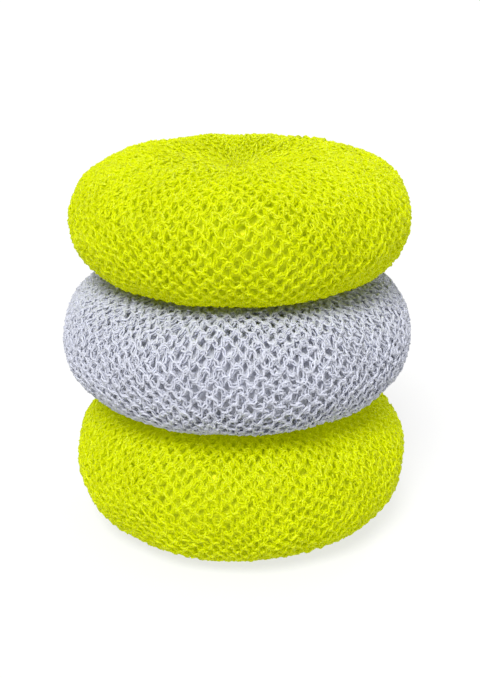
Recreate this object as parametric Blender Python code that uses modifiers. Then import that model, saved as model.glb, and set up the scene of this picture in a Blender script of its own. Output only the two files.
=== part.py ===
"""A stacked set of round nylon scrubbers, each made of knitted tube gathered at both poles.

Each scrubber is a squashed ball. Two turns of the tube lie one inside the other as thin shells.
Both run over the crown, down the dimple and into a short neck on the axis, at the top and at the
bottom. A thread wound round the necks binds them, a second thread along the axis draws the two
dimples together, and the rest of the tube is rolled up inside as a springy filling.
Where scrubbers bear on each other, their weight presses the crowns flat, and every layer follows.
Units are metres, +Z is up, and the set stands on Z = 0.
"""

import math

import bmesh
import bpy

MM = 0.001

# Outer sizes of each scrubber, before its crowns are pressed flat
BOTTOM_RADIUS = 51.4 * MM
BOTTOM_HEIGHT = 42.8 * MM
MIDDLE_RADIUS = 52.7 * MM
MIDDLE_HEIGHT = 41.0 * MM
TOP_RADIUS = 50.0 * MM
TOP_HEIGHT = 37.8 * MM

# How the stack stands: depth of the flats that the weight presses, and how far each lies off line
BASE_PRESS = 0.5 * MM           # on the face that the stack stands on
LOWER_PRESS = 1.2 * MM          # on both faces between the bottom and the middle one
UPPER_PRESS = 2.0 * MM          # on both faces between the middle and the top one
BOTTOM_SHIFT = 0.8 * MM         # to the right of the middle one
TOP_SHIFT = 1.1 * MM
BOTTOM_TWIST = math.radians(4.0)
MIDDLE_TWIST = math.radians(9.0)
TOP_TWIST = math.radians(0.0)

# Shape of the puff
RIM_POWER = 5.0                 # 2 is a round ball, more is a squarer rim
CROWN_POWER = 1.95              # the same for the height
CROWN_RADIUS = 22.0 * MM        # where the crown is highest and the dimple starts
DIMPLE_DEPTH = 5.2 * MM
DIMPLE_POWER = 1.5              # 1 is a plain cone, more rounds the lip

# Knitted tube, binding thread and running clearances
FABRIC = 1.6 * MM               # one turn of the tube, two plies of knit
CLEARANCE = 0.3 * MM
CENTRE_THREAD_RADIUS = 0.9 * MM
TIE_THREAD_RADIUS = 0.5 * MM
TIE_PITCH = 1.5 * MM
TIE_TURNS = 2
NECK_TAIL = 0.6 * MM            # neck that stands out beyond its tie

# Gathers round the dimple
GATHERS = 14
GATHER_DEPTH = 1.0 * MM
GATHER_START_SHARE = 0.3        # of the crown's radius, where the gathers begin

# Mesh fineness
SEGMENTS = 2 * GATHERS
RIM_STEPS = 5
DIMPLE_STEP_SHARES = (0.30, 0.60, 1.0)   # of the way from the dimple's edge to the neck
TIE_STEPS = 12
THREAD_SIDES = 12
MERGE = 0.01 * MM

LIME = "#CFDC1E"
GREY = "#C3C5D2"


def colour(code):
    """Linear colour of an sRGB hex code."""
    linear = []
    for start in (1, 3, 5):
        value = int(code[start:start + 2], 16) / 255
        linear.append(value / 12.92 if value <= 0.04045 else ((value + 0.055) / 1.055) ** 2.4)
    return (*linear, 1.0)


def nylon(name, code, roughness):
    """Principled material of dyed nylon."""
    material = bpy.data.materials.new(name)
    material.use_nodes = True
    shader = material.node_tree.nodes["Principled BSDF"]
    shader.inputs["Base Color"].default_value = colour(code)
    shader.inputs["Roughness"].default_value = roughness
    shader.inputs["Metallic"].default_value = 0.0
    return material


def clear_scene():
    for item in list(bpy.data.objects):
        bpy.data.objects.remove(item, do_unlink=True)


def new_collection(name):
    group = bpy.data.collections.new(name)
    bpy.context.scene.collection.children.link(group)
    return group


def add_mesh(name, mesh, group, parent, material):
    """Link a mesh as an object under its scrubber's empty."""
    piece = bpy.data.objects.new(name, mesh)
    group.objects.link(piece)
    piece.parent = parent
    if material:
        mesh.materials.clear()
        mesh.materials.append(material)
    return piece


def dimple_depth(radius, neck_radius):
    """How far below the crown the dimple's surface lies, steepening towards the neck."""
    share = (radius - neck_radius) / (CROWN_RADIUS - neck_radius)
    return DIMPLE_DEPTH * (1 - share) ** DIMPLE_POWER


def dimple_edge(neck_radius, press):
    """Radius of the dimple's edge, which draws in as the crown is pressed flat."""
    share = 1 - (press / DIMPLE_DEPTH) ** (1 / DIMPLE_POWER)
    return neck_radius + (CROWN_RADIUS - neck_radius) * share


def outer_side(rim_radius, crown_height, press):
    """Outer surface from the equator over the crown to the top of the neck."""
    neck_radius = CENTRE_THREAD_RADIUS + CLEARANCE
    edge_radius = dimple_edge(neck_radius, press)
    crown_share = 1 - (CROWN_RADIUS / rim_radius) ** RIM_POWER
    full_height = crown_height / crown_share ** (1 / CROWN_POWER)
    flat_height = crown_height - press
    flat_turn = math.asin((flat_height / full_height) ** (CROWN_POWER / 2))
    points = []
    for step in range(RIM_STEPS + 1):
        turn = flat_turn * step / RIM_STEPS
        radius = rim_radius * math.cos(turn) ** (2 / RIM_POWER)
        height = full_height * math.sin(turn) ** (2 / CROWN_POWER)
        points.append((radius, height))
    if press > 0:
        points.append((edge_radius, flat_height))
    for share in DIMPLE_STEP_SHARES:
        radius = edge_radius + (neck_radius - edge_radius) * share
        points.append((radius, crown_height - dimple_depth(radius, neck_radius)))
    return points


def inward(points, distance):
    """The same line moved towards the inside of the puff, square to itself."""
    directions = []
    for (r0, z0), (r1, z1) in zip(points, points[1:]):
        length = math.hypot(r1 - r0, z1 - z0)
        directions.append(((r1 - r0) / length, (z1 - z0) / length))
    level = (0.0, 1.0)
    plumb = (0.0, -1.0)
    before = [level] + directions
    after = directions + [plumb]
    moved = []
    for (radius, height), (r0, z0), (r1, z1) in zip(points, before, after):
        side_r = -(z0 + z1)
        side_z = r0 + r1
        reach = distance * 2 / (side_r ** 2 + side_z ** 2)
        moved.append((radius + side_r * reach, height + side_z * reach))
    return moved


def height_at(points, radius):
    """Height of an upper side at a radius between its neck and its rim."""
    for (r0, z0), (r1, z1) in zip(points, points[1:]):
        if r1 <= radius <= r0:
            return z0 + (z1 - z0) * (r0 - radius) / (r0 - r1)
    return points[-1][1]


class Half:
    """Every size of one half of a scrubber that follows from its outer surface and the fabric."""

    def __init__(self, rim_radius, crown_height, press):
        turn = FABRIC + CLEARANCE
        self.flat = crown_height - press
        self.edge_radius = dimple_edge(CENTRE_THREAD_RADIUS + CLEARANCE, press)
        self.outer = outer_side(rim_radius, crown_height, press)
        self.inner = inward(self.outer, turn)
        self.filling = inward(self.outer, 2 * turn)
        # The tie goes round both necks, just under the dimple
        corner = math.cos(math.pi / TIE_STEPS)
        necks = CENTRE_THREAD_RADIUS + CLEARANCE + FABRIC + turn
        self.tie_radius = (necks + CLEARANCE + TIE_THREAD_RADIUS) / corner
        self.pocket = self.tie_radius + TIE_THREAD_RADIUS + CLEARANCE
        lining = inward(self.outer, turn + FABRIC)
        ceiling = min(height_at(lining, self.pocket), height_at(lining, self.tie_radius))
        self.tie_top = ceiling - GATHER_DEPTH - CLEARANCE - TIE_THREAD_RADIUS
        self.tie_bottom = self.tie_top - TIE_TURNS * TIE_PITCH
        self.neck_end = self.tie_bottom - TIE_THREAD_RADIUS - NECK_TAIL
        self.filling_top = self.neck_end - CLEARANCE
        self.thread_end = self.outer[-1][1] - NECK_TAIL


class Puff:
    """The two halves of one scrubber."""

    def __init__(self, rim_radius, height, press_below, press_above):
        self.upper = Half(rim_radius, height / 2, press_above)
        self.lower = Half(rim_radius, height / 2, press_below)


def thinned(half_line):
    """Every second point of the rim, for a piece that is hidden, and every point past it."""
    return half_line[:RIM_STEPS:2] + half_line[RIM_STEPS:]


def whole(upper_line, lower_line):
    """A whole side, top to bottom, from its two halves, which both start at the equator."""
    return upper_line[::-1] + [(radius, -height) for radius, height in lower_line[1:]]


def turned(name, points, closed, group, parent, material):
    """Turn a line of radius and height points round the axis."""
    mesh = bpy.data.meshes.new(name)
    edges = [(index, index + 1) for index in range(len(points) - 1)]
    if closed:
        edges.append((len(points) - 1, 0))
    mesh.from_pydata([(radius, 0.0, height) for radius, height in points], edges, [])
    piece = add_mesh(name, mesh, group, parent, material)
    screw = piece.modifiers.new("Turn", "SCREW")
    screw.axis = "Z"
    screw.steps = SEGMENTS
    screw.render_steps = SEGMENTS
    screw.use_merge_vertices = True
    screw.merge_threshold = MERGE
    screw.use_smooth_shade = True
    return piece


def gather_depth(radius, edge_radius):
    """Depth of the gathers at a radius. A pressed dimple is narrower, and so are its gathers."""
    start = CROWN_RADIUS * GATHER_START_SHARE
    if radius <= start or radius >= edge_radius:
        return 0.0
    width_share = (edge_radius - start) / (CROWN_RADIUS - start)
    return GATHER_DEPTH * width_share * math.sin(math.pi * (radius - start) / (edge_radius - start))


def gather(mesh, puff):
    """Press a valley along every second spoke round both dimples."""
    for vertex in mesh.vertices:
        half = puff.upper if vertex.co.z > 0 else puff.lower
        radius = math.hypot(vertex.co.x, vertex.co.y)
        angle = math.atan2(vertex.co.y, vertex.co.x)
        valley = (1 - math.cos(GATHERS * angle)) / 2
        depth = valley * gather_depth(radius, half.edge_radius)
        vertex.co.z -= math.copysign(depth, vertex.co.z)


def apply_modifiers(piece):
    """Replace an object's mesh with the one that its modifiers make."""
    graph = bpy.context.evaluated_depsgraph_get()
    mesh = bpy.data.meshes.new_from_object(piece.evaluated_get(graph))
    piece.modifiers.clear()
    piece.data = mesh


def add_turn_of_tube(name, puff, upper_line, lower_line, group, parent, material):
    """One turn of knitted tube: a gathered shell with an open neck at each pole."""
    upper_line = upper_line + [(upper_line[-1][0], puff.upper.neck_end)]
    lower_line = lower_line + [(lower_line[-1][0], puff.lower.neck_end)]
    piece = turned(name, whole(upper_line, lower_line), False, group, parent, material)
    wall = piece.modifiers.new("Wall", "SOLIDIFY")
    wall.thickness = FABRIC
    wall.offset = -1.0
    wall.use_even_offset = True
    wall.use_rim = True
    apply_modifiers(piece)
    gather(piece.data, puff)


def filling_line(half):
    """One half of the filling's side, from the equator to its bore for the centre thread."""
    lip = height_at(half.filling, half.pocket) - GATHER_DEPTH
    line = [point for point in thinned(half.filling) if point[0] > half.pocket]
    line.append((half.pocket, lip))
    line.append((half.pocket, half.filling_top))
    line.append((CENTRE_THREAD_RADIUS + CLEARANCE, half.filling_top))
    return line


def add_core_roll(name, puff, group, parent, material):
    """The filling: it fits the inner turn, with a pocket for each neck and a bore for the thread."""
    line = whole(filling_line(puff.upper), filling_line(puff.lower))
    piece = turned(name, line, True, group, parent, material)
    apply_modifiers(piece)
    gather(piece.data, puff)


def add_tie(name, half, side, group, parent, material):
    """Thread wound round the gathered necks, as one unbroken helix, above (1) or below (-1)."""
    count = TIE_TURNS * TIE_STEPS + 1
    path = bpy.data.curves.new(name, "CURVE")
    path.dimensions = "3D"
    path.bevel_depth = TIE_THREAD_RADIUS
    path.bevel_resolution = 1
    path.use_fill_caps = True
    spline = path.splines.new("POLY")
    spline.points.add(count - 1)
    for index, point in enumerate(spline.points):
        turn = 2 * math.pi * index / TIE_STEPS
        height = half.tie_bottom + TIE_PITCH * index / TIE_STEPS
        x = half.tie_radius * math.cos(turn)
        y = half.tie_radius * math.sin(turn)
        point.co = (x, y, side * height, 1.0)
    path.materials.append(material)
    tie = bpy.data.objects.new(name, path)
    group.objects.link(tie)
    tie.parent = parent
    print(name, "least gap to itself, mm:", round((TIE_PITCH - 2 * TIE_THREAD_RADIUS) / MM, 2))


def add_centre_thread(name, puff, group, parent, material):
    """Thread along the axis, held in both necks and hidden just below the dimples."""
    length = puff.upper.thread_end + puff.lower.thread_end
    middle = (puff.upper.thread_end - puff.lower.thread_end) / 2
    mesh = bpy.data.meshes.new(name)
    shape = bmesh.new()
    bmesh.ops.create_cone(
        shape,
        cap_ends=True,
        segments=THREAD_SIDES,
        radius1=CENTRE_THREAD_RADIUS,
        radius2=CENTRE_THREAD_RADIUS,
        depth=length,
    )
    bmesh.ops.translate(shape, vec=(0.0, 0.0, middle), verts=shape.verts)
    shape.to_mesh(mesh)
    shape.free()
    add_mesh(name, mesh, group, parent, material)


def add_scrubber(name, puff, place, twist, code, group):
    """All pieces of one scrubber, under an empty at its centre."""
    centre = bpy.data.objects.new(name + "_centre", None)
    centre.empty_display_size = CROWN_RADIUS
    centre.location = place
    centre.rotation_euler = (0.0, 0.0, twist)
    group.objects.link(centre)
    bpy.context.view_layer.update()

    mesh_nylon = nylon(name + " knitted nylon", code, 0.35)
    lining_nylon = nylon(name + " knitted nylon lining", code, 0.4)
    roll_nylon = nylon(name + " rolled nylon", code, 0.5)
    thread = nylon(name + " thread", code, 0.6)

    upper, lower = puff.upper, puff.lower
    add_turn_of_tube(
        name + "_outer_turn", puff, upper.outer, lower.outer, group, centre, mesh_nylon)
    add_turn_of_tube(
        name + "_inner_turn", puff, thinned(upper.inner), thinned(lower.inner), group, centre,
        lining_nylon)
    add_core_roll(name + "_core_roll", puff, group, centre, roll_nylon)
    add_tie(name + "_upper_tie", upper, 1, group, centre, thread)
    add_tie(name + "_lower_tie", lower, -1, group, centre, thread.copy())
    add_centre_thread(name + "_centre_thread", puff, group, centre, thread.copy())


def build():
    clear_scene()
    group = new_collection("nylon_scrubber_set")

    bottom = Puff(BOTTOM_RADIUS, BOTTOM_HEIGHT, BASE_PRESS, LOWER_PRESS)
    middle = Puff(MIDDLE_RADIUS, MIDDLE_HEIGHT, LOWER_PRESS, UPPER_PRESS)
    top = Puff(TOP_RADIUS, TOP_HEIGHT, UPPER_PRESS, 0.0)

    bottom_height = bottom.lower.flat
    middle_height = bottom_height + bottom.upper.flat + CLEARANCE + middle.lower.flat
    top_height = middle_height + middle.upper.flat + CLEARANCE + top.lower.flat

    add_scrubber("bottom", bottom, (BOTTOM_SHIFT, 0.0, bottom_height), BOTTOM_TWIST, LIME, group)
    add_scrubber("middle", middle, (0.0, 0.0, middle_height), MIDDLE_TWIST, GREY, group)
    add_scrubber("top", top, (TOP_SHIFT, 0.0, top_height), TOP_TWIST, LIME, group)


build()
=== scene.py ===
"""Dresses the stacked nylon scrubbers: knitted loops, rolled filling, twisted threads and a stage."""

import math
from typing import NamedTuple

import bmesh
import bpy
import numpy as np
from mathutils import Matrix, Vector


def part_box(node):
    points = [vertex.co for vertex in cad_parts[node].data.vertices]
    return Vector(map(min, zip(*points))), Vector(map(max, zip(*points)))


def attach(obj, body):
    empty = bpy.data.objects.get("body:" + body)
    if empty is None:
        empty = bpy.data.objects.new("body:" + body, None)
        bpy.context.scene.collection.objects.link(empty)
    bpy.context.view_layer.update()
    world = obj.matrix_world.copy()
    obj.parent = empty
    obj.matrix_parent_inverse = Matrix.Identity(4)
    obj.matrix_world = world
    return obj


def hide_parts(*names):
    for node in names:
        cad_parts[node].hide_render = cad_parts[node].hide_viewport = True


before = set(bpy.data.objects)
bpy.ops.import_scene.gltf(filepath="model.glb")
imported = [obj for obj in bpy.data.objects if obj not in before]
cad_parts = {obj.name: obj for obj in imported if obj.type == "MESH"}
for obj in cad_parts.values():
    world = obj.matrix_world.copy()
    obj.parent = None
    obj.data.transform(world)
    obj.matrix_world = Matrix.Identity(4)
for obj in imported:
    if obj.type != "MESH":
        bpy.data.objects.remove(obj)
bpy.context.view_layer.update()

bl_info = {
    "name": "Nylon Scrubber Set",
    "version": (1, 0, 0),
    "blender": (4, 5, 0),
    "location": "View3D > Sidebar > Scrubber",
    "description": "Knits, fills and ties a stack of round nylon scrubbers and sets up their stage",
    "category": "Object",
}

MM = 0.001
PICTURE_HEIGHT = 678            # pixels
MERGE = 0.001 * MM              # corners of a mesh closer than this become one

# How deep the stack's weight presses the crowns flat, as in the solids
BASE_PRESS = 0.5 * MM           # where the stack stands
LOWER_PRESS = 1.2 * MM          # between the bottom and the middle scrubber
UPPER_PRESS = 2.0 * MM          # between the middle and the top scrubber

# Folds round the dimples, and the fine pleats that fan out from them
FOLD_REACH_SHARE = 1.3          # of the crown's radius, where the folds end
STRAY_FOLDS = 5                 # more than in the main set, in a weaker one that makes it uneven
STRAY_FOLD_SHARE = 0.4          # of the depth of the folds
STRAY_FOLD_START = 1.0          # radians
PLEATS_PER_FOLD = 3
PLEAT_BEATS = 5.5               # the half makes a course lie deep where the next one stands out
PLEAT_START = 2.0               # radians
PLEAT_REACH_SHARE = 0.85        # of the scrubber's radius, where the pleats end

# How the knit runs along the fabric
HALF_WALE = 0.5                 # a turn's last loop is half a loop, so loops lie between loops
NECK_MARGIN_SHARE = 0.012       # of the fabric's length, left without loops at each neck
FINE_SHARE = 0.5                # of the scrubber's radius, within which loops have half the points
TWINE_HEIGHT_SHARE = 0.6        # of the twine's radius, as a web is flatter than it is wide
CROWDING_POWER = 1.2            # how fast the twine narrows towards the necks
CROWDED_RADIUS = 5.0 * MM       # within it the twine narrows no more
AXIS_SHARE = 0.3                # of the neck's radius, which no filament comes closer than

# How uneven the knit is: the usual spread from loop to loop, and the drift over the whole tube
SWELL_SPREAD_SHARE = 0.5        # of a loop's swell
HEIGHT_SPREAD_SHARE = 0.12      # of a loop's height
WALE_SPREAD_SHARE = 0.08        # of a wale
WALE_DRIFT_SHARE = 0.20         # of a wale
COURSE_SPREAD_SHARE = 0.10      # of a course
COURSE_DRIFT_SHARE = 0.35       # of a course
TWINE_SPREAD = 0.8              # radians
ASIDE_SPREAD = 0.15 * MM
OUTWARD_SPREAD = 0.12 * MM
OUTWARD_DRIFT = 0.18 * MM

# The filling
POCKET_RADIUS = 6.9 * MM        # of the hollow for the necks and their tie
POCKET_FLOOR = 4.0 * MM         # from the equator
FILLING_START_SHARE = 0.16      # of the fabric's length, from which the filling follows it
FILLING_POINTS = 70             # along its side
FILLING_STEPS = 140             # round it
PLAIN_SHARE = 1.2               # of the pocket's radius, within which there are no lumps
LUMP_DEPTH = 0.30 * MM
LUMP_RISE = 0.10 * MM           # of the whole surface, which the lumps then spread from

# The threads, each of plies laid round each other
TIE_RADIUS = 0.5 * MM
TIE_TURNS = 2
TIE_POINTS = 97
TIE_TWISTS = 24
TIE_PLY_SIDES = 5
CENTRE_POINTS = 60
CENTRE_TWISTS = 5
CENTRE_PLY_SIDES = 6
PLIES = 3
PLY_OFFSET_SHARE = 0.5          # of the thread's radius
PLY_RADIUS_SHARE = 0.48         # of the thread's radius

# Widths of the patterns in the materials
MOTTLE_WIDTH = 9.1 * MM         # patches of uneven dye, as wide as a few loops
GLOSS_WIDTH = 1.11 * MM         # patches where the filament is smoother or rougher
GAP_WIDTH = 2.5 * MM            # gaps with painted shade between the strands of the filling, as in the knit
FIBRE_WIDTH = 0.2 * MM          # real fibres are far finer than a pixel

# Brightness of the darkest and the lightest patches of each pattern, as shares of the colour
MOTTLE_SHARES = (0.94, 1.04)
FIBRE_SHARES = (0.75, 1.05)
# Painted shade in the gaps of the filling, as a share of the filling's colour
GAP_SHADE_SHARE = 0.8
GLOSS_SPREAD = (-0.08, 0.10)    # added to the roughness
WHITE = (1.0, 1.0, 1.0, 1.0)

# Seeds of the random draws
SCRUBBER_SEED = 100             # from one scrubber to the next
STRAND_SEED = 50
PUFF_SEED = 90
DRIFT_SEED = 3
FILLING_SEED = 500

SENSOR_WIDTH = 36.0             # millimetres, as the camera takes it
NEAREST_SEEN = 10.0 * MM


class Scrubber(NamedTuple):
    """One scrubber of the stack."""

    name: str
    dye: str              # its colour in NylonColours and its row in DYES
    twist: float          # about its axis, as it was set down
    press_below: float    # how deep its underside is pressed flat
    press_above: float    # how deep its top is pressed flat


SCRUBBERS = (
    Scrubber("bottom", "lime", math.radians(4.0), BASE_PRESS, LOWER_PRESS),
    Scrubber("middle", "grey", math.radians(9.0), LOWER_PRESS, UPPER_PRESS),
    Scrubber("top", "lime", 0.0, UPPER_PRESS, 0.0),
)


class Strand(NamedTuple):
    """One filament of the knit, and how it lies against the others.

    All strands of a scrubber share its uneven loops. The outer two twine round each other into
    one web, and the inner two lie deeper and to either side of it.
    """

    piece: str
    node: str
    slot: str
    depth: float          # of the middle of its twine, below the surface of the scrubber
    twine_share: float    # where it starts in the twine, as a share of a turn
    wale_share: float     # start round the tube, as a share of a wale
    course_share: float   # start along the tube, as a share of a course
    steps: int            # points along the filament in each loop


STRANDS = (
    Strand("outer_knit", "outer_turn", "knit", 0.30 * MM, 0.0, 0.0, 0.0, 9),
    Strand("outer_second_knit", "outer_turn", "knit", 0.30 * MM, 0.5, 0.0, 0.0, 9),
    Strand("inner_knit", "inner_turn", "lining", 0.80 * MM, 0.25, 0.08, 0.28, 7),
    Strand("inner_second_knit", "inner_turn", "lining", 1.10 * MM, 0.75, -0.08, -0.28, 7),
)


class Dye(NamedTuple):
    """How a dyed filament treats the light, besides its colour."""

    through: float        # share of the light that passes through the filament
    painted_glow: float   # painted glow: emission that brightens it under any light, standing in for a neon dye's fluorescence
    filling_shade_share: float     # painted shade: brightness of the filling, as a share of the colour, below 1 for the shade deep inside


# The lime gets a painted glow, and the grey's filling is darkened as painted shade
DYES = {
    "lime": Dye(through=0.72, painted_glow=0.28, filling_shade_share=1.0),
    "grey": Dye(through=0.52, painted_glow=0.0, filling_shade_share=0.86),
}


class PuffSettings(bpy.types.PropertyGroup):
    """Shape shared by the three scrubbers, as in the solids that they stand for."""

    rim_power: bpy.props.FloatProperty(
        name="Rim squareness", description="2 is a round ball, more is a squarer rim", default=5.0)
    crown_power: bpy.props.FloatProperty(
        name="Crown squareness", description="The same for the height", default=1.95)
    crown_radius: bpy.props.FloatProperty(
        name="Crown radius", description="Where the crown is highest and the dimple starts",
        default=22.0 * MM, unit="LENGTH")
    dimple_depth: bpy.props.FloatProperty(
        name="Dimple depth", description="From the crown down to the gathered neck",
        default=5.2 * MM, unit="LENGTH")
    dimple_power: bpy.props.FloatProperty(
        name="Dimple roundness", description="1 is a plain cone, more rounds the lip", default=1.5)
    neck_radius: bpy.props.FloatProperty(
        name="Neck radius", description="Inside of the gathered neck, round the centre thread",
        default=1.2 * MM, unit="LENGTH")
    press_ease: bpy.props.FloatProperty(
        name="Press ease", description="Length of fabric over which a pressed flat rounds off",
        default=4.0 * MM, unit="LENGTH")
    gathers: bpy.props.IntProperty(
        name="Gathers", description="Folds round each dimple", default=14)
    gather_depth: bpy.props.FloatProperty(
        name="Gather depth", description="Depth of the folds round each dimple",
        default=1.0 * MM, unit="LENGTH")
    pleat_depth: bpy.props.FloatProperty(
        name="Pleat depth", description="Depth of the fine pleats between the folds",
        default=1.7 * MM, unit="LENGTH")


class KnitSettings(bpy.types.PropertyGroup):
    """The knitted tube of nylon filament."""

    filament: bpy.props.FloatProperty(
        name="Filament", description="Diameter of the nylon filament",
        default=0.60 * MM, unit="LENGTH")
    wales: bpy.props.IntProperty(
        name="Wales", description="Loops round the tube", default=72)
    courses: bpy.props.IntProperty(
        name="Courses", description="Rows of loops from one neck to the other", default=52)
    loop_height_share: bpy.props.FloatProperty(
        name="Loop height", description="Half the height of a loop, as a share of the row spacing",
        default=0.62)
    loop_swell_share: bpy.props.FloatProperty(
        name="Loop swell", description="How far a loop's head bulges, as a share of a wale",
        default=0.05)
    loop_depth: bpy.props.FloatProperty(
        name="Loop depth", description="How far heads and feet stand out from legs",
        default=0.20 * MM, unit="LENGTH")
    twine_radius: bpy.props.FloatProperty(
        name="Twine radius", description="How far the strands of a web twine round its middle",
        default=0.46 * MM, unit="LENGTH")
    sides: bpy.props.IntProperty(
        name="Filament sides", description="Sides of the filament's section", default=3)


class NylonColours(bpy.types.PropertyGroup):
    """Dyed nylon colours, as sRGB hex codes."""

    lime: bpy.props.StringProperty(
        name="Lime", description="Top and bottom scrubbers", default="#EBF108")
    grey: bpy.props.StringProperty(
        name="Lavender grey", description="Middle scrubber", default="#E6E8F1")


class StageSettings(bpy.types.PropertyGroup):
    """Floor, light and camera."""

    distance: bpy.props.FloatProperty(
        name="Camera distance", description="From the camera to the middle of the stack",
        default=0.36, unit="LENGTH")
    elevation: bpy.props.FloatProperty(
        name="Camera elevation", description="Above the horizon",
        default=math.radians(20.63), subtype="ANGLE")
    roll: bpy.props.FloatProperty(
        name="Camera roll", description="Lean of the camera to one side",
        default=math.radians(-0.56), subtype="ANGLE")
    focal_pixels: bpy.props.FloatProperty(
        name="Focal length in pixels", description="For a picture 678 pixels tall", default=1171.0)
    aim_height: bpy.props.FloatProperty(
        name="Aim height", description="Height that the middle of the picture looks at",
        default=56.8 * MM, unit="LENGTH")
    aim_side: bpy.props.FloatProperty(
        name="Aim to the side", description="How far the camera stands to the right",
        default=0.8 * MM, unit="LENGTH")
    floor_size: bpy.props.FloatProperty(
        name="Floor size", description="Width of the pale floor", default=6.0, unit="LENGTH")
    low_strength: bpy.props.FloatProperty(
        name="Low world strength", description="Light from the horizon", default=0.45)
    high_strength: bpy.props.FloatProperty(
        name="High world strength", description="Light from overhead", default=0.65)
    front_strength: bpy.props.FloatProperty(
        name="Front lamp strength", description="Light of the wide soft lamp in front", default=4.1)
    front_angle: bpy.props.FloatProperty(
        name="Front lamp width", description="How wide the front lamp looks from the stack",
        default=math.radians(24.0), subtype="ANGLE")
    front_lean: bpy.props.FloatProperty(
        name="Front lamp lean", description="From overhead towards the front",
        default=math.radians(40.0), subtype="ANGLE")
    front_turn: bpy.props.FloatProperty(
        name="Front lamp turn", description="About the upright, from straight in front",
        default=math.radians(-14.0), subtype="ANGLE")
    back_strength: bpy.props.FloatProperty(
        name="Back lamp strength", description="Light of the weak lamp behind", default=0.60)
    back_angle: bpy.props.FloatProperty(
        name="Back lamp width", description="How wide the back lamp looks from the stack",
        default=math.radians(20.0), subtype="ANGLE")
    back_lean: bpy.props.FloatProperty(
        name="Back lamp lean", description="From overhead, below 0 as it leans to the back",
        default=math.radians(-50.0), subtype="ANGLE")
    back_turn: bpy.props.FloatProperty(
        name="Back lamp turn", description="About the upright, from straight behind",
        default=math.radians(-34.0), subtype="ANGLE")
    floor_bounce: bpy.props.FloatProperty(
        name="Floor bounce", description="Share of the light that the floor returns", default=0.85)
    floor_tone: bpy.props.FloatProperty(
        name="Floor tone", description="The same, as the camera sees it", default=0.20)
    floor_lift: bpy.props.FloatProperty(
        name="Floor lift", description="White that the camera sees added to the floor", default=0.72)


def linear(code):
    """Linear colour of an sRGB hex code."""
    values = []
    for start in (1, 3, 5):
        value = int(code[start:start + 2], 16) / 255
        values.append(value / 12.92 if value <= 0.04045 else ((value + 0.055) / 1.055) ** 2.4)
    return (*values, 1.0)


def shade_of(code, factor):
    """The colour of a hex code, a little lighter or darker."""
    red, green, blue, alpha = linear(code)
    return (min(red * factor, 1.0), min(green * factor, 1.0), min(blue * factor, 1.0), alpha)


def add_node(tree, kind, settings=None, inputs=None, links=None):
    """Add a node, set it up and link sockets into it."""
    node = tree.nodes.new(kind)
    for key, value in (settings or {}).items():
        setattr(node, key, value)
    for key, value in (inputs or {}).items():
        node.inputs[key].default_value = value
    for key, socket in (links or {}).items():
        tree.links.new(socket, node.inputs[key])
    return node


def new_material(name):
    """An empty material with its output and shader."""
    material = bpy.data.materials.new(name)
    material.use_nodes = True
    tree = material.node_tree
    tree.nodes.clear()
    shader = add_node(tree, "ShaderNodeBsdfPrincipled")
    add_node(tree, "ShaderNodeOutputMaterial", links={"Surface": shader.outputs["BSDF"]})
    return material, tree, shader


def tint_between(tree, shader, code, shares, factor):
    """Colour a shader from one shade of a hex code to another, as a pattern's socket says."""
    tint = add_node(
        tree, "ShaderNodeMix", settings={"data_type": "RGBA"}, links={"Factor": factor})
    tint.inputs["A"].default_value = shade_of(code, shares[0])
    tint.inputs["B"].default_value = shade_of(code, shares[1])
    tree.links.new(tint.outputs["Result"], shader.inputs["Base Color"])
    return tint.outputs["Result"]


def drawn_nylon(name, code, dye):
    """Drawn nylon monofilament: smooth, glossy and see-through, dyed right through.

    Light passes from filament to filament, so the gaps of the knit glow. The dye takes unevenly,
    which shows as a soft lighter and darker mottle. The lime also gets a painted glow, an emission
    that brightens it under any light, standing in for a neon dye's fluorescence.
    """
    material, tree, shader = new_material(name)
    place = add_node(tree, "ShaderNodeTexCoord")
    mottle = add_node(
        tree, "ShaderNodeTexNoise",
        inputs={"Scale": 1 / MOTTLE_WIDTH, "Detail": 2.0, "Roughness": 0.5},
        links={"Vector": place.outputs["Object"]})
    tint = tint_between(tree, shader, code, MOTTLE_SHARES, mottle.outputs["Fac"])
    # Die lines along the filament are finer than a pixel, so they are drawn as changes of gloss
    gloss = add_node(
        tree, "ShaderNodeTexNoise",
        inputs={"Scale": 1 / GLOSS_WIDTH, "Detail": 1.0},
        links={"Vector": place.outputs["Object"]})
    roughness = 0.28
    smoothest, roughest = GLOSS_SPREAD
    spread = add_node(
        tree, "ShaderNodeMapRange",
        inputs={"To Min": roughness + smoothest, "To Max": roughness + roughest},
        links={"Value": gloss.outputs["Fac"]})
    tree.links.new(spread.outputs["Result"], shader.inputs["Roughness"])
    shader.inputs["IOR"].default_value = 1.53
    shader.inputs["Specular IOR Level"].default_value = 0.4
    # Painted glow: emission in the dye's own colour, which brightens the lime under any light,
    # standing in for a neon dye's fluorescence
    tree.links.new(tint, shader.inputs["Emission Color"])
    shader.inputs["Emission Strength"].default_value = dye.painted_glow
    let_light_through(tree, shader, tint, dye.through)
    return material


def let_light_through(tree, shader, colour, share):
    """Pass a share of the light on, tinted, to what lies behind."""
    inside = add_node(tree, "ShaderNodeBsdfTranslucent", links={"Color": colour})
    both = add_node(
        tree, "ShaderNodeMixShader", inputs={0: share},
        links={1: shader.outputs["BSDF"], 2: inside.outputs["BSDF"]})
    output = tree.nodes["Material Output"]
    tree.links.new(both.outputs["Shader"], output.inputs["Surface"])


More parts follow.
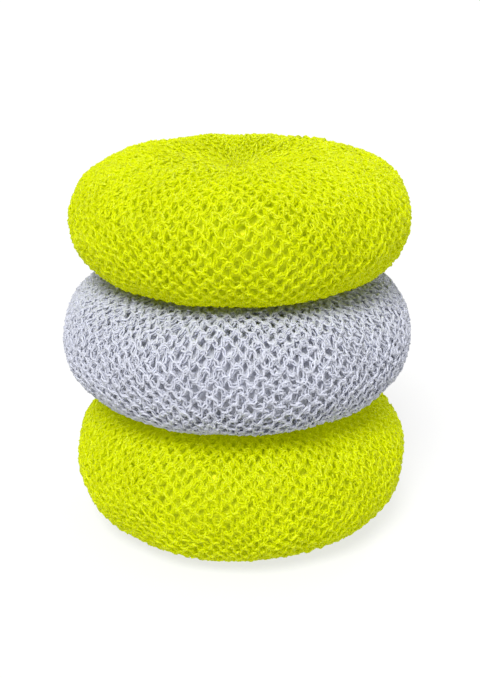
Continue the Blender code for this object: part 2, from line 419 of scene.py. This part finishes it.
def rolled_nylon(name, code, dye):
    """Many layers of the same knit rolled up: matt strands round gaps that are darker as painted
    shade.
    """
    material, tree, shader = new_material(name)
    place = add_node(tree, "ShaderNodeTexCoord")
    gaps = add_node(
        tree, "ShaderNodeTexVoronoi", settings={"feature": "DISTANCE_TO_EDGE"},
        inputs={"Scale": 1 / GAP_WIDTH, "Randomness": 0.8},
        links={"Vector": place.outputs["Object"]})
    # Painted shade: 0 on the strands at the cells' edges, 1 in the darker gaps between them
    deep = add_node(
        tree, "ShaderNodeMapRange", inputs={"From Min": 0.04, "From Max": 0.22},
        links={"Value": gaps.outputs["Distance"]})
    # Painted shade: the filling is darkened by the dye's share, and its gaps darker still
    shares = (dye.filling_shade_share, GAP_SHADE_SHARE * dye.filling_shade_share)
    tint_between(tree, shader, code, shares, deep.outputs["Result"])
    shader.inputs["Roughness"].default_value = 0.8
    return material


def twisted_thread(name, code):
    """Twisted polyester sewing thread: satin, with fine fibres that soften the highlight."""
    material, tree, shader = new_material(name)
    place = add_node(tree, "ShaderNodeTexCoord")
    fibres = add_node(
        tree, "ShaderNodeTexNoise",
        inputs={"Scale": 1 / FIBRE_WIDTH, "Detail": 2.0},
        links={"Vector": place.outputs["Object"]})
    tint_between(tree, shader, code, FIBRE_SHARES, fibres.outputs["Fac"])
    shader.inputs["Roughness"].default_value = 0.6
    shader.inputs["Sheen Weight"].default_value = 0.3
    return material


class Profile:
    """The side of one scrubber as a line along its fabric, from the top neck to the bottom neck."""

    SAMPLES = 600             # points along the fabric
    DIMPLE_SAMPLES = 150

    def __init__(self, scrubber):
        shape = bpy.context.scene.puff_settings
        low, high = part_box(scrubber.name + "_outer_turn")
        self.twist = scrubber.twist
        self.pressed_above = scrubber.press_above > 0
        self.x = (low[0] + high[0]) / 2
        self.y = (low[1] + high[1]) / 2
        self.radius = max(high[0] - low[0], high[1] - low[1]) / 2
        self.low = low[2]
        self.high = high[2]
        # Height of the crown above the equator, before it is pressed flat
        crown = (high[2] - low[2] + scrubber.press_below + scrubber.press_above) / 2
        self.z = low[2] + crown - scrubber.press_below
        upper = self.half(shape, crown, scrubber.press_above)
        lower = self.half(shape, crown, scrubber.press_below)
        line = np.concatenate([upper[::-1], lower[1:] * (1, -1)])
        steps = np.hypot(*np.diff(line, axis=0).T)
        length = np.concatenate([[0.0], np.cumsum(steps)])
        self.length = length[-1]
        along = np.linspace(0.0, self.length, self.SAMPLES)
        self.share = along / self.length
        self.line_r = np.interp(along, length, line[:, 0])
        self.line_z = self.eased(np.interp(along, length, line[:, 1]), shape.press_ease)
        slope_r = np.gradient(self.line_r, along)
        slope_z = np.gradient(self.line_z, along)
        size = np.hypot(slope_r, slope_z)
        self.out_r = -slope_z / size
        self.out_z = slope_r / size

    def half(self, shape, crown, press):
        """Points from the equator over the pressed crown and down the dimple to the neck."""
        inner = shape.crown_radius / self.radius
        full = crown / (1 - inner ** shape.rim_power) ** (1 / shape.crown_power)
        last_turn = math.acos(inner ** (shape.rim_power / 2))
        turn = np.linspace(0.0, last_turn, self.SAMPLES)
        rim_r = self.radius * np.cos(turn) ** (2 / shape.rim_power)
        rim_z = full * np.sin(turn) ** (2 / shape.crown_power)
        dimple_r = np.linspace(shape.crown_radius, shape.neck_radius, self.DIMPLE_SAMPLES)[1:]
        share = (dimple_r - shape.neck_radius) / (shape.crown_radius - shape.neck_radius)
        dimple_z = crown - shape.dimple_depth * (1 - share) ** shape.dimple_power
        line = np.concatenate([np.stack([rim_r, rim_z], 1), np.stack([dimple_r, dimple_z], 1)])
        line[:, 1] = np.minimum(line[:, 1], crown - press)
        return line

    def eased(self, values, reach):
        """Values along the fabric, averaged over a reach, so that a pressed edge rounds off."""
        count = 2 * int(reach / self.length * self.SAMPLES / 2) + 1
        padded = np.pad(values, count // 2, mode="reflect", reflect_type="odd")
        return np.convolve(padded, np.ones(count) / count, mode="valid")

    def place(self, angle, share, height, clear):
        """World points at an angle, a share along the fabric and a height above it.

        They keep clear of the pressed faces by the filament's own reach.
        """
        shape = bpy.context.scene.puff_settings
        share = np.clip(share, 0.0, 1.0)
        radius = np.interp(share, self.share, self.line_r)
        level = np.interp(share, self.share, self.line_z)
        out_r = np.interp(share, self.share, self.out_r)
        out_z = np.interp(share, self.share, self.out_z)
        fold = self.gather(angle, radius, shape)
        radius = np.maximum(radius + out_r * height, AXIS_SHARE * shape.neck_radius)
        level = self.z + level + out_z * height - np.sign(level) * fold
        level = np.maximum(level, self.low + clear)
        if self.pressed_above:
            level = np.minimum(level, self.high - clear)
        turned = angle + self.twist
        return np.stack([
            self.x + radius * np.cos(turned),
            self.y + radius * np.sin(turned),
            level,
        ], axis=1)

    def gather(self, angle, radius, shape):
        """Depth of the folds round the dimples, and of the fine pleats that fan out from them."""
        reach = np.clip(radius / (FOLD_REACH_SHARE * shape.crown_radius), 0.0, 1.0)
        main = np.cos(shape.gathers * angle)
        stray = np.cos((shape.gathers + STRAY_FOLDS) * angle + STRAY_FOLD_START)
        waves = (1 - STRAY_FOLD_SHARE) * main + STRAY_FOLD_SHARE * stray
        folds = shape.gather_depth * np.sin(np.pi * reach) ** 2 * (1 - waves) / 2
        reach = np.clip(radius / (PLEAT_REACH_SHARE * self.radius), 0.0, 1.0)
        waves = np.cos(PLEATS_PER_FOLD * shape.gathers * angle)
        waves = waves * np.cos(PLEAT_BEATS * angle + PLEAT_START)
        return folds + shape.pleat_depth * np.sin(np.pi * reach) * (1 - waves) / 2


def ripples(random, count, around, along):
    """A smooth random function of the angle and the share along the fabric, about -1 to 1.

    It adds up a count of waves, with up to so many of them around and along the fabric.
    """
    turns = random.integers(1, around + 1, count)
    waves = random.uniform(-along, along, count)
    starts = random.uniform(0.0, 2 * math.pi, count)
    scale = math.sqrt(2.0 / count)

    def value(angle, share):
        total = np.zeros_like(angle)
        for turn, wave, start in zip(turns, waves, starts):
            total += np.sin(turn * angle + 2 * math.pi * wave * share + start)
        return total * scale

    return value


def per_loop(random, position, spread):
    """One random value a loop, of a usual size, blended smoothly along the filament."""
    index = position.astype(int)
    values = random.normal(0.0, 1.0, index[-1] + 2)
    blend = position - index
    blend = blend * blend * (3 - 2 * blend)
    return spread * (values[index] * (1 - blend) + values[index + 1] * blend)


def loop_positions(profile, per_turn, courses, steps):
    """Places along a filament, counted in loops, closer together where the loops are wide."""
    loop = np.arange(int(per_turn * (courses - 1)))
    radius = np.interp(loop / (per_turn * courses), profile.share, profile.line_r)
    counts = np.where(radius > FINE_SHARE * profile.radius, steps, (steps + 1) // 2)
    first = np.cumsum(counts) - counts
    step = np.arange(counts.sum()) - np.repeat(first, counts)
    return np.repeat(loop, counts) + step / np.repeat(counts, counts)


def loop_lines(knit, strand, position, seed, drift):
    """Angle and share along the fabric of the loops, before the strands twine.

    A turn holds half a wale more than a whole number, so each course sits between the loops of
    the one before it and the holes lie like a honeycomb.
    """
    random = np.random.default_rng(seed)
    wander, crowd = drift
    per_turn = knit.wales + HALF_WALE
    wale_angle = 2 * np.pi / per_turn
    spacing = (1 - 2 * NECK_MARGIN_SHARE) / knit.courses
    turn = 2 * np.pi * position
    angle = wale_angle * (position + strand.wale_share)
    share = NECK_MARGIN_SHARE + spacing * (position / per_turn + strand.course_share)
    swell = knit.loop_swell_share * (1 + per_loop(random, position, SWELL_SPREAD_SHARE))
    sideways = swell * np.sin(2 * turn) + per_loop(random, position, WALE_SPREAD_SHARE)
    sideways = sideways + WALE_DRIFT_SHARE * wander(angle, share)
    tall = knit.loop_height_share * (1 + per_loop(random, position, HEIGHT_SPREAD_SHARE))
    upward = per_loop(random, position, COURSE_SPREAD_SHARE) - tall * np.cos(turn)
    upward = upward + COURSE_DRIFT_SHARE * crowd(angle, share)
    return angle + wale_angle * sideways, share + spacing * upward


def knit_path(profile, knit, strand, seed, drift):
    """Points along one filament that is knitted round the scrubber from neck to neck."""
    position = loop_positions(profile, knit.wales + HALF_WALE, knit.courses, strand.steps)
    angle, share = loop_lines(knit, strand, position, seed, drift)

    # The strand goes twice round the middle of its twine in each loop
    random = np.random.default_rng(seed + STRAND_SEED + STRANDS.index(strand))
    turn = 2 * np.pi * position
    twine = 2 * turn + 2 * np.pi * strand.twine_share + per_loop(random, position, TWINE_SPREAD)
    radius = np.maximum(np.interp(share, profile.share, profile.line_r), CROWDED_RADIUS)
    crowding = (radius / profile.radius) ** CROWDING_POWER
    reach = knit.twine_radius * crowding
    aside = reach * np.cos(twine) + per_loop(random, position, ASIDE_SPREAD) * crowding
    across = np.gradient(angle) * radius
    along = np.gradient(share) * profile.length
    size = np.hypot(across, along)
    angle = angle - aside * along / size / radius
    share = share + aside * across / size / profile.length

    outward = TWINE_HEIGHT_SHARE * reach * np.sin(twine)
    outward = outward + per_loop(random, position, OUTWARD_SPREAD) * crowding
    outward = outward + knit.loop_depth * np.cos(2 * turn)
    puff = ripples(np.random.default_rng(seed + PUFF_SEED), count=14, around=16, along=6.0)
    height = outward - strand.depth + OUTWARD_DRIFT * crowding * puff(angle, share)
    return profile.place(angle, share, height, corner_radius(knit.filament / 2, knit.sides))


def corner_radius(radius, sides):
    """Reach of the corners of a section that has the girth of a round one, so it looks as thick."""
    return radius * math.pi / (sides * math.sin(math.pi / sides))


def section_curve(name, radius, sides):
    """A closed ring of points that a filament is swept with."""
    corner = corner_radius(radius, sides)
    ring = bpy.data.curves.new(name, "CURVE")
    ring.dimensions = "2D"
    spline = ring.splines.new("POLY")
    spline.points.add(sides - 1)
    spline.use_cyclic_u = True
    for index, point in enumerate(spline.points):
        turn = 2 * math.pi * index / sides
        point.co = (corner * math.cos(turn), corner * math.sin(turn), 0.0, 1.0)
    section = bpy.data.objects.new(name, ring)
    bpy.context.scene.collection.objects.link(section)
    return section


def swept_mesh(name, paths, radius, sides, material):
    """Sweep a section along lists of points and return the mesh object."""
    section = section_curve(name + "_section", radius, sides)
    curve = bpy.data.curves.new(name + "_path", "CURVE")
    curve.dimensions = "3D"
    curve.bevel_mode = "OBJECT"
    curve.bevel_object = section
    curve.use_fill_caps = True
    for points in paths:
        spline = curve.splines.new("POLY")
        spline.points.add(len(points) - 1)
        rows = np.ones((len(points), 4))
        rows[:, :3] = points
        spline.points.foreach_set("co", rows.ravel())
        spline.use_smooth = True
    holder = bpy.data.objects.new(name + "_path", curve)
    bpy.context.scene.collection.objects.link(holder)
    graph = bpy.context.evaluated_depsgraph_get()
    mesh = bpy.data.meshes.new_from_object(holder.evaluated_get(graph))
    bpy.data.objects.remove(holder)
    bpy.data.objects.remove(section)
    return finished_piece(name, mesh, material)


def finished_piece(name, mesh, material):
    """Make a mesh a smooth-shaded object with one material and its normals outward."""
    shape = bmesh.new()
    shape.from_mesh(mesh)
    bmesh.ops.remove_doubles(shape, verts=shape.verts, dist=MERGE)
    bmesh.ops.recalc_face_normals(shape, faces=shape.faces)
    shape.to_mesh(mesh)
    shape.free()
    mesh.name = name
    mesh.materials.clear()
    mesh.materials.append(material)
    mesh.shade_smooth()
    piece = bpy.data.objects.new(name, mesh)
    bpy.context.scene.collection.objects.link(piece)
    return piece


def dress(piece, scrubber, material_slot, *nodes):
    """Tie a piece to its scrubber's body and hide the nodes that it stands for."""
    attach(piece, scrubber + "_scrubber")
    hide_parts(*nodes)


class SCRUBBER_OT_knit_turns(bpy.types.Operator):
    """Knit the turns of nylon tube round each scrubber"""

    bl_idname = "scrubber.knit_turns"
    bl_label = "Knit Turns"

    def execute(self, context):
        knit = context.scene.knit_settings
        colours = context.scene.nylon_colours
        for order, scrubber in enumerate(SCRUBBERS):
            name = scrubber.name
            code = getattr(colours, scrubber.dye)
            profile = Profile(scrubber)
            random = np.random.default_rng(DRIFT_SEED + order)
            wander = ripples(random, count=12, around=9, along=3.0)
            crowd = ripples(random, count=12, around=9, along=3.0)
            for strand in STRANDS:
                material = drawn_nylon(f"{name} {strand.piece} nylon", code, DYES[scrubber.dye])
                path = knit_path(profile, knit, strand, SCRUBBER_SEED * order, (wander, crowd))
                piece = swept_mesh(
                    f"{name}_{strand.piece}", [path], knit.filament / 2, knit.sides, material)
                dress(piece, name, f"{scrubber.dye}_{strand.slot}", f"{name}_{strand.node}")
        return {"FINISHED"}


class SCRUBBER_OT_core_rolls(bpy.types.Operator):
    """Roll up the rest of the tube as the filling of each scrubber"""

    bl_idname = "scrubber.core_rolls"
    bl_label = "Core Rolls"

    def execute(self, context):
        colours = context.scene.nylon_colours
        for order, scrubber in enumerate(SCRUBBERS):
            name = scrubber.name
            code = getattr(colours, scrubber.dye)
            random = np.random.default_rng(FILLING_SEED + order)
            material = rolled_nylon(f"{name} rolled nylon", code, DYES[scrubber.dye])
            piece = core_roll(name, Profile(scrubber), material, random)
            dress(piece, name, f"{scrubber.dye}_roll", name + "_core_roll")
        return {"FINISHED"}


def core_side(name, profile):
    """Radius and height points of the filling's side, from its bore above to its bore below."""
    low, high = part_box(name + "_core_roll")
    depth = profile.radius - (high[0] - low[0]) / 2
    share = np.linspace(FILLING_START_SHARE, 1 - FILLING_START_SHARE, FILLING_POINTS)
    radius = np.interp(share, profile.share, profile.line_r)
    level = np.interp(share, profile.share, profile.line_z)
    radius = radius - depth * np.interp(share, profile.share, profile.out_r)
    level = level - depth * np.interp(share, profile.share, profile.out_z)
    bore = bpy.context.scene.puff_settings.neck_radius
    above = [(bore, POCKET_FLOOR), (POCKET_RADIUS, POCKET_FLOOR)]
    below = [(POCKET_RADIUS, -POCKET_FLOOR), (bore, -POCKET_FLOOR)]
    return above + list(zip(radius, level)) + below


def raise_lumps(shape, profile, random):
    """Push the filling's surface out in lumps, except round the pockets."""
    lumps = ripples(random, count=40, around=70, along=40.0)
    shape.normal_update()
    for vertex in shape.verts:
        reach = math.hypot(vertex.co.x, vertex.co.y)
        if reach < PLAIN_SHARE * POCKET_RADIUS:
            continue
        angle = np.array([math.atan2(vertex.co.y, vertex.co.x)])
        along = np.array([vertex.co.z / profile.radius])
        height = float(lumps(angle, along)[0]) * LUMP_DEPTH + LUMP_RISE
        vertex.co += vertex.normal * height


def core_roll(name, profile, material, random):
    """A crowned closed roll with lumps of bunched knit all over."""
    shape = bmesh.new()
    corners = [shape.verts.new((r, 0.0, z)) for r, z in core_side(name, profile)]
    for first, second in zip(corners, corners[1:] + corners[:1]):
        shape.edges.new((first, second))
    bmesh.ops.spin(
        shape, geom=shape.verts[:] + shape.edges[:], cent=(0, 0, 0), axis=(0, 0, 1),
        dvec=(0, 0, 0), angle=2 * math.pi, steps=FILLING_STEPS, use_merge=True,
        use_duplicate=False)
    bmesh.ops.remove_doubles(shape, verts=shape.verts, dist=MERGE)
    bmesh.ops.recalc_face_normals(shape, faces=shape.faces)
    raise_lumps(shape, profile, random)
    mesh = bpy.data.meshes.new(name + "_core_knit")
    shape.to_mesh(mesh)
    shape.free()
    mesh.transform(Matrix.Translation((profile.x, profile.y, profile.z)))
    return finished_piece(name + "_rolled_core", mesh, material)


class SCRUBBER_OT_threads(bpy.types.Operator):
    """Twist the binding threads and the centre thread of each scrubber"""

    bl_idname = "scrubber.threads"
    bl_label = "Threads"

    def execute(self, context):
        colours = context.scene.nylon_colours
        for scrubber in SCRUBBERS:
            name = scrubber.name
            slot = scrubber.dye + "_thread"
            material = twisted_thread(name + " thread", getattr(colours, scrubber.dye))
            for side in ("upper", "lower"):
                node = f"{name}_{side}_tie"
                dress(wound_tie(node, scrubber.twist, side, material), name, slot, node)
            node = name + "_centre_thread"
            dress(straight_thread(node, material), name, slot, node)
        return {"FINISHED"}


def laid_plies(line, sideways, upwards, radius, twists):
    """Plies laid round a line of points, spread evenly round it."""
    share = np.linspace(0.0, 1.0, len(line))
    plies = []
    for index in range(PLIES):
        turn = 2 * np.pi * (twists * share + index / PLIES)
        plies.append(line + PLY_OFFSET_SHARE * radius * (
            np.cos(turn)[:, None] * sideways + np.sin(turn)[:, None] * upwards))
    return plies


def wound_tie(node, twist, side, material):
    """Thread wound round the gathered necks, as its node's solid is."""
    low, high = (np.array(corner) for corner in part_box(node))
    reach = (high[0] - low[0]) / 2 - TIE_RADIUS
    share = np.linspace(0.0, 1.0, TIE_POINTS)
    turn = 2 * np.pi * TIE_TURNS * share + twist
    level = low[2] + TIE_RADIUS + (high[2] - low[2] - 2 * TIE_RADIUS) * share
    if side == "lower":
        level = level[::-1]
    outward = np.stack([np.cos(turn), np.sin(turn), np.zeros_like(turn)], axis=1)
    line = reach * outward
    line[:, 0] += (low[0] + high[0]) / 2
    line[:, 1] += (low[1] + high[1]) / 2
    line[:, 2] = level
    upward = np.zeros_like(outward) + (0.0, 0.0, 1.0)
    plies = laid_plies(line, outward, upward, TIE_RADIUS, TIE_TWISTS)
    return swept_mesh(node + "_cord", plies, PLY_RADIUS_SHARE * TIE_RADIUS, TIE_PLY_SIDES, material)


def straight_thread(node, material):
    """The thread along the axis, through both necks."""
    low, high = (np.array(corner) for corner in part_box(node))
    radius = (high[0] - low[0]) / 2
    line = np.zeros((CENTRE_POINTS, 3))
    line[:, 0] = (low[0] + high[0]) / 2
    line[:, 1] = (low[1] + high[1]) / 2
    line[:, 2] = np.linspace(low[2], high[2], CENTRE_POINTS)
    side = np.zeros_like(line) + (1.0, 0.0, 0.0)
    ahead = np.zeros_like(line) + (0.0, 1.0, 0.0)
    plies = laid_plies(line, side, ahead, radius, CENTRE_TWISTS)
    return swept_mesh(node + "_cord", plies, PLY_RADIUS_SHARE * radius, CENTRE_PLY_SIDES, material)


class SCRUBBER_OT_stage(bpy.types.Operator):
    """Lay the pale floor, hang the lamps and set the camera"""

    bl_idname = "scrubber.stage"
    bl_label = "Stage"

    def execute(self, context):
        settings = context.scene.stage_settings
        add_floor(settings)
        add_lamp(
            "front lamp", settings.front_strength, settings.front_angle,
            settings.front_lean, settings.front_turn)
        add_lamp(
            "back lamp", settings.back_strength, settings.back_angle,
            settings.back_lean, settings.back_turn)
        add_world(settings)
        add_camera(settings)
        context.scene.view_settings.view_transform = "Standard"
        return {"FINISHED"}


def add_floor(settings):
    """A plain white floor under the stack."""
    mesh = bpy.data.meshes.new("floor")
    shape = bmesh.new()
    bmesh.ops.create_grid(shape, x_segments=1, y_segments=1, size=settings.floor_size / 2)
    shape.to_mesh(mesh)
    shape.free()
    mesh.materials.append(white_paper("white paper floor", settings))
    floor = bpy.data.objects.new("floor", mesh)
    bpy.context.scene.collection.objects.link(floor)


def white_paper(name, settings):
    """Matt white paper, lifted to pure white where the camera sees it unshaded."""
    material, tree, shader = new_material(name)
    seen = seen_directly(tree)
    tone = add_node(
        tree, "ShaderNodeMapRange",
        inputs={"To Min": settings.floor_bounce, "To Max": settings.floor_tone},
        links={"Value": seen})
    tree.links.new(tone.outputs["Result"], shader.inputs["Base Color"])
    shader.inputs["Roughness"].default_value = 0.9
    shader.inputs["Specular IOR Level"].default_value = 0.0
    shader.inputs["Emission Color"].default_value = WHITE
    strength = add_node(
        tree, "ShaderNodeMath", settings={"operation": "MULTIPLY"},
        inputs={1: settings.floor_lift}, links={0: seen})
    tree.links.new(strength.outputs["Value"], shader.inputs["Emission Strength"])
    return material


def seen_directly(tree):
    """1 for what the camera sees, straight or by a mirror or a clear body, and 0 for the rest."""
    path = add_node(tree, "ShaderNodeLightPath")
    seen = add_node(
        tree, "ShaderNodeMath", settings={"operation": "MAXIMUM"},
        links={0: path.outputs["Is Camera Ray"], 1: path.outputs["Is Glossy Ray"]})
    seen = add_node(
        tree, "ShaderNodeMath", settings={"operation": "MAXIMUM"},
        links={0: seen.outputs["Value"], 1: path.outputs["Is Transmission Ray"]})
    return seen.outputs["Value"]


def add_lamp(name, strength, width, lean, turn):
    """A lamp overhead that leans to the front, or to the back where lean is below 0."""
    light = bpy.data.lights.new(name, "SUN")
    light.energy = strength
    light.angle = width
    lamp = bpy.data.objects.new(name, light)
    lamp.rotation_euler = (lean, 0.0, turn)
    bpy.context.scene.collection.objects.link(lamp)


def add_world(settings):
    """White as the camera and reflections see it; as a light, strongest overhead."""
    world = bpy.data.worlds.new("white studio")
    bpy.context.scene.world = world
    world.use_nodes = True
    tree = world.node_tree
    tree.nodes.clear()
    place = add_node(tree, "ShaderNodeTexCoord")
    parts = add_node(
        tree, "ShaderNodeSeparateXYZ", links={"Vector": place.outputs["Generated"]})
    light = add_node(
        tree, "ShaderNodeMapRange",
        inputs={"To Min": settings.low_strength, "To Max": settings.high_strength},
        links={"Value": parts.outputs["Z"]})
    strength = add_node(
        tree, "ShaderNodeMapRange", inputs={"To Max": 1.0},
        links={"Value": seen_directly(tree), "To Min": light.outputs["Result"]})
    back = add_node(
        tree, "ShaderNodeBackground", inputs={"Color": WHITE},
        links={"Strength": strength.outputs["Result"]})
    add_node(tree, "ShaderNodeOutputWorld", links={"Surface": back.outputs["Background"]})


def add_camera(settings):
    """The photograph's viewpoint."""
    view = bpy.data.cameras.new("camera")
    view.sensor_width = SENSOR_WIDTH
    view.lens = settings.focal_pixels * SENSOR_WIDTH / PICTURE_HEIGHT
    view.clip_start = NEAREST_SEEN
    camera = bpy.data.objects.new("camera", view)
    turn = Matrix.Rotation(math.pi / 2 - settings.elevation, 4, "X")
    roll = Matrix.Rotation(settings.roll, 4, "Z")
    aim = Matrix.Translation((settings.aim_side, 0.0, settings.aim_height))
    back = Matrix.Translation((0.0, 0.0, settings.distance))
    camera.matrix_world = aim @ turn @ back @ roll
    bpy.context.scene.collection.objects.link(camera)
    bpy.context.scene.camera = camera


class SCRUBBER_PT_panel(bpy.types.Panel):
    """Lists the steps that dress the scrubbers"""

    bl_idname = "SCRUBBER_PT_panel"
    bl_label = "Nylon Scrubber Set"
    bl_space_type = "VIEW_3D"
    bl_region_type = "UI"
    bl_category = "Scrubber"

    def draw(self, context):
        for operator in OPERATORS:
            self.layout.operator(operator.bl_idname)
        for name in SETTINGS:
            group = getattr(context.scene, name)
            box = self.layout.box()
            for key in group.bl_rna.properties.keys():
                if key not in {"rna_type", "name"}:
                    box.prop(group, key)


OPERATORS = (
    SCRUBBER_OT_knit_turns,
    SCRUBBER_OT_core_rolls,
    SCRUBBER_OT_threads,
    SCRUBBER_OT_stage,
)
SETTINGS = {
    "puff_settings": PuffSettings,
    "knit_settings": KnitSettings,
    "nylon_colours": NylonColours,
    "stage_settings": StageSettings,
}


def register():
    for group in SETTINGS.values():
        bpy.utils.register_class(group)
    for operator in OPERATORS:
        bpy.utils.register_class(operator)
    bpy.utils.register_class(SCRUBBER_PT_panel)
    for name, group in SETTINGS.items():
        setattr(bpy.types.Scene, name, bpy.props.PointerProperty(type=group))


def unregister():
    for name in SETTINGS:
        delattr(bpy.types.Scene, name)
    bpy.utils.unregister_class(SCRUBBER_PT_panel)
    for operator in reversed(OPERATORS):
        bpy.utils.unregister_class(operator)
    for group in reversed(SETTINGS.values()):
        bpy.utils.unregister_class(group)


def main():
    register()
    bpy.ops.scrubber.knit_turns()
    bpy.ops.scrubber.core_rolls()
    bpy.ops.scrubber.threads()
    bpy.ops.scrubber.stage()
    bpy.context.view_layer.update()


if __name__ == "__main__":
    main()
